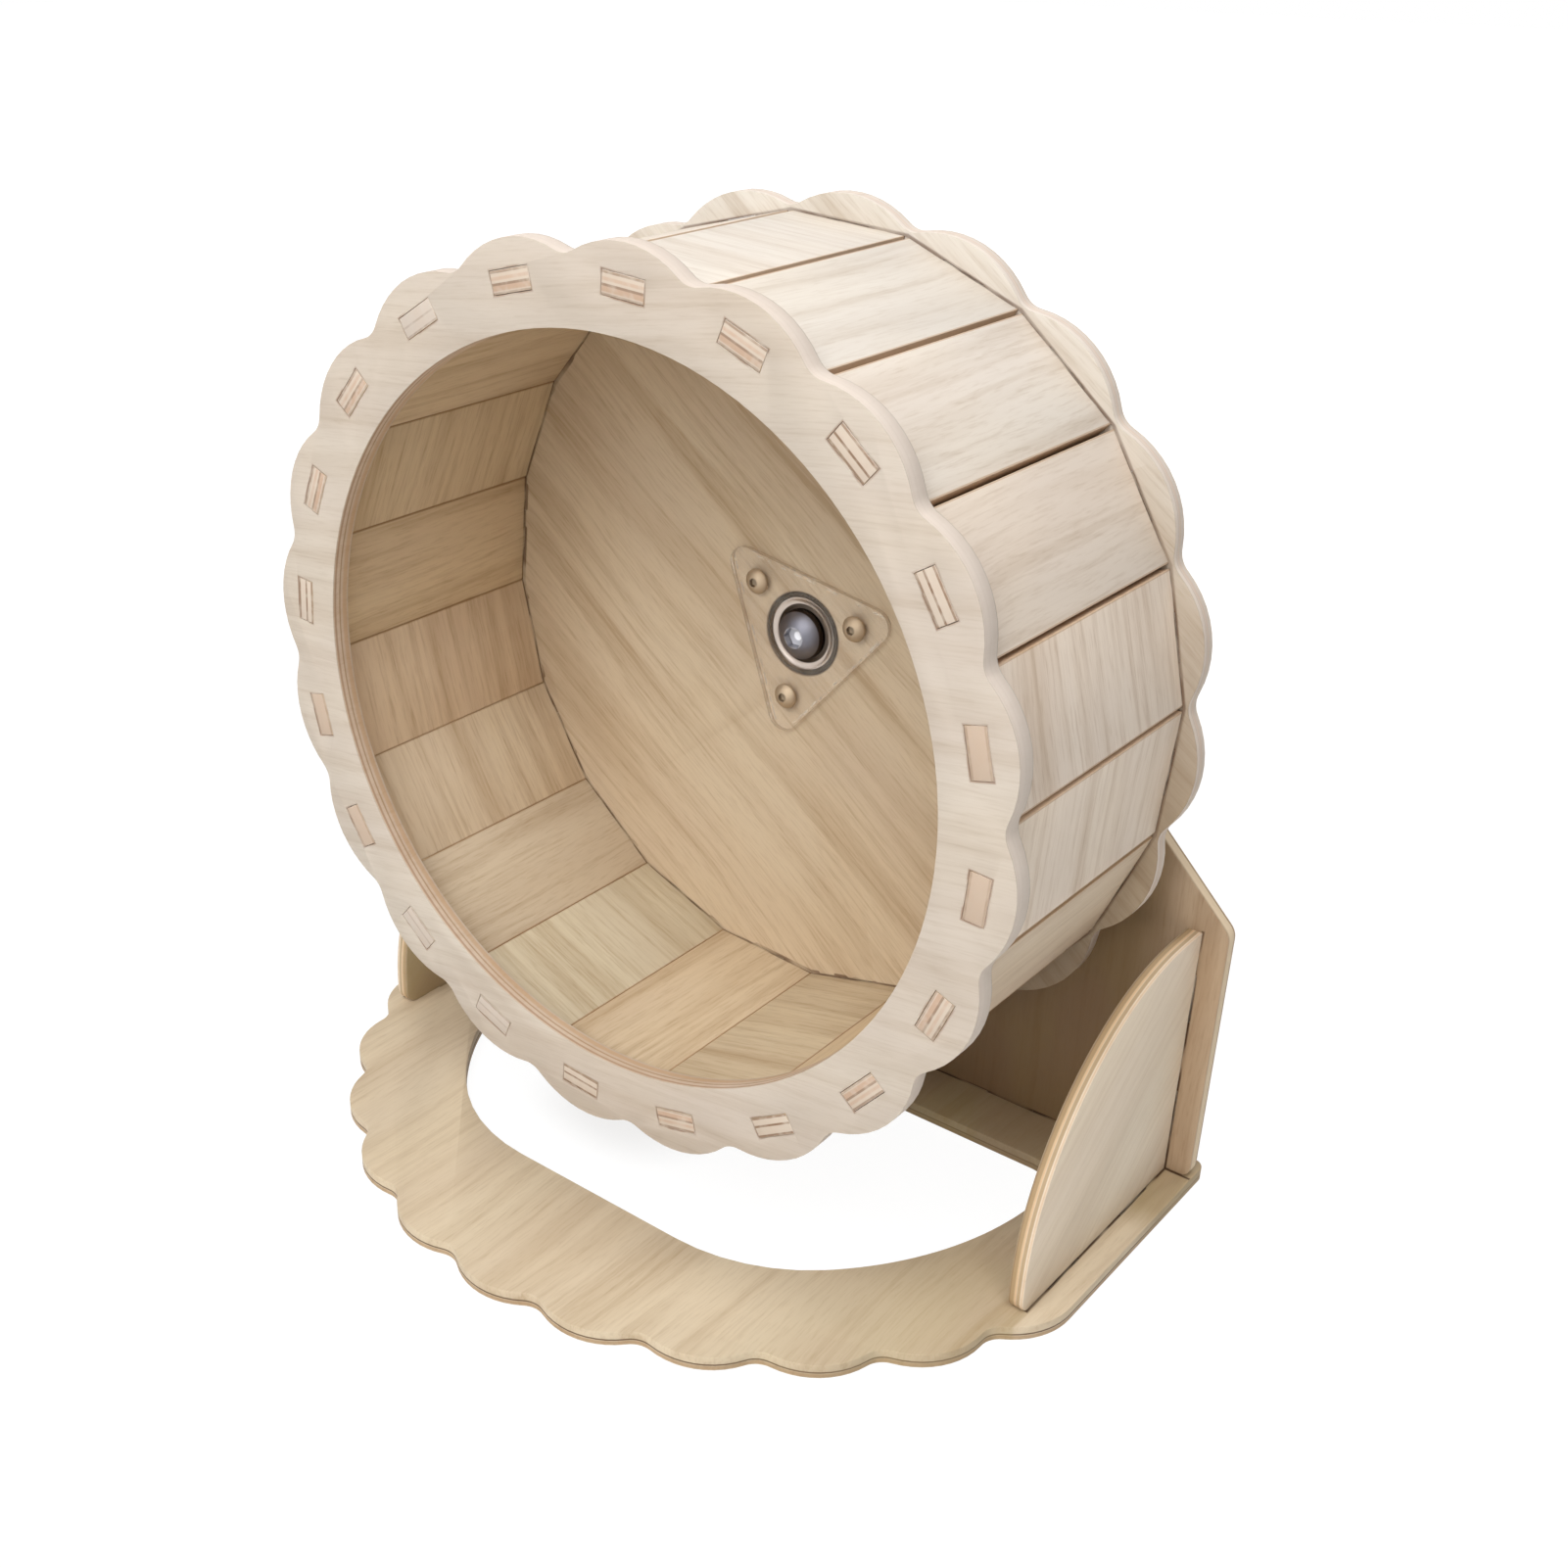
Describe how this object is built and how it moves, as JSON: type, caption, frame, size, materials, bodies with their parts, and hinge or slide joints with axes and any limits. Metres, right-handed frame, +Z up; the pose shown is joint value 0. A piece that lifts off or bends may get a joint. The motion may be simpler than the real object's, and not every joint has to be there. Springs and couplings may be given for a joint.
{
  "type": "rodent exercise wheel",
  "caption": "Wooden exercise wheel for a small rodent: a slatted drum with lobed end plates, turning on a ball bearing in front of a plywood stand.",
  "frame": {"origin": "middle of the whole object's footprint, on the underside of the base plate", "axes": "+X to the viewer's right, +Y to the back along the axle, +Z up"},
  "size_m": [0.2272, 0.164, 0.2419],
  "materials": {
    "ring_ply": "bare sanded birch plywood, fine straight grain",
    "drum_ply": "bare basswood plywood, fine straight grain",
    "stand_ply": "bare basswood plywood, fine straight grain",
    "clear_plastic": "clear cast acrylic with polished edges",
    "bolt_steel": "zinc-plated, satin",
    "bearing_steel": "ground and polished",
    "shield_steel": "pressed sheet, dull"
  },
  "bodies": {
    "stand": {"base_plate": "stand_ply", "upright": "stand_ply", "left_bracket": "stand_ply", "right_bracket": "stand_ply", "axle_bolt": "bolt_steel", "axle_spacer": "bolt_steel", "axle_washer": "bolt_steel", "axle_nut": "bolt_steel", "bearing_inner_race": "bearing_steel"},
    "wheel": {"front_ring": "ring_ply", "back_disc": "drum_ply", "slat_01": "drum_ply", "slat_02": "drum_ply", "slat_03": "drum_ply", "slat_04": "drum_ply", "slat_05": "drum_ply", "slat_06": "drum_ply", "slat_07": "drum_ply", "slat_08": "drum_ply", "slat_09": "drum_ply", "slat_10": "drum_ply", "slat_11": "drum_ply", "slat_12": "drum_ply", "slat_13": "drum_ply", "slat_14": "drum_ply", "slat_15": "drum_ply", "slat_16": "drum_ply", "slat_17": "drum_ply", "slat_18": "drum_ply", "slat_19": "drum_ply", "slat_20": "drum_ply", "hub_plate": "clear_plastic", "hub_back_plate": "clear_plastic", "hub_screws": "bolt_steel", "hub_nuts": "bolt_steel", "bearing_outer_race": "bearing_steel", "bearing_front_shield": "shield_steel", "bearing_rear_shield": "shield_steel"},
    "cage": {"bearing_cage": "shield_steel", "bearing_balls": "bearing_steel"}
  },
  "joints": [
    {"name": "wheel_spin", "type": "hinge", "parent": "stand", "child": "wheel", "pos_m": [0, 0.0455, 0.13387], "axis": [0, 1, 0], "continuous": true},
    {"name": "cage_spin", "type": "hinge", "parent": "stand", "child": "cage", "pos_m": [0, 0.0455, 0.13387], "axis": [0, 1, 0], "continuous": true}
  ],
  "couplings": [
    {"joint": "cage_spin", "follows": "wheel_spin", "ratio": 0.632}
  ]
}
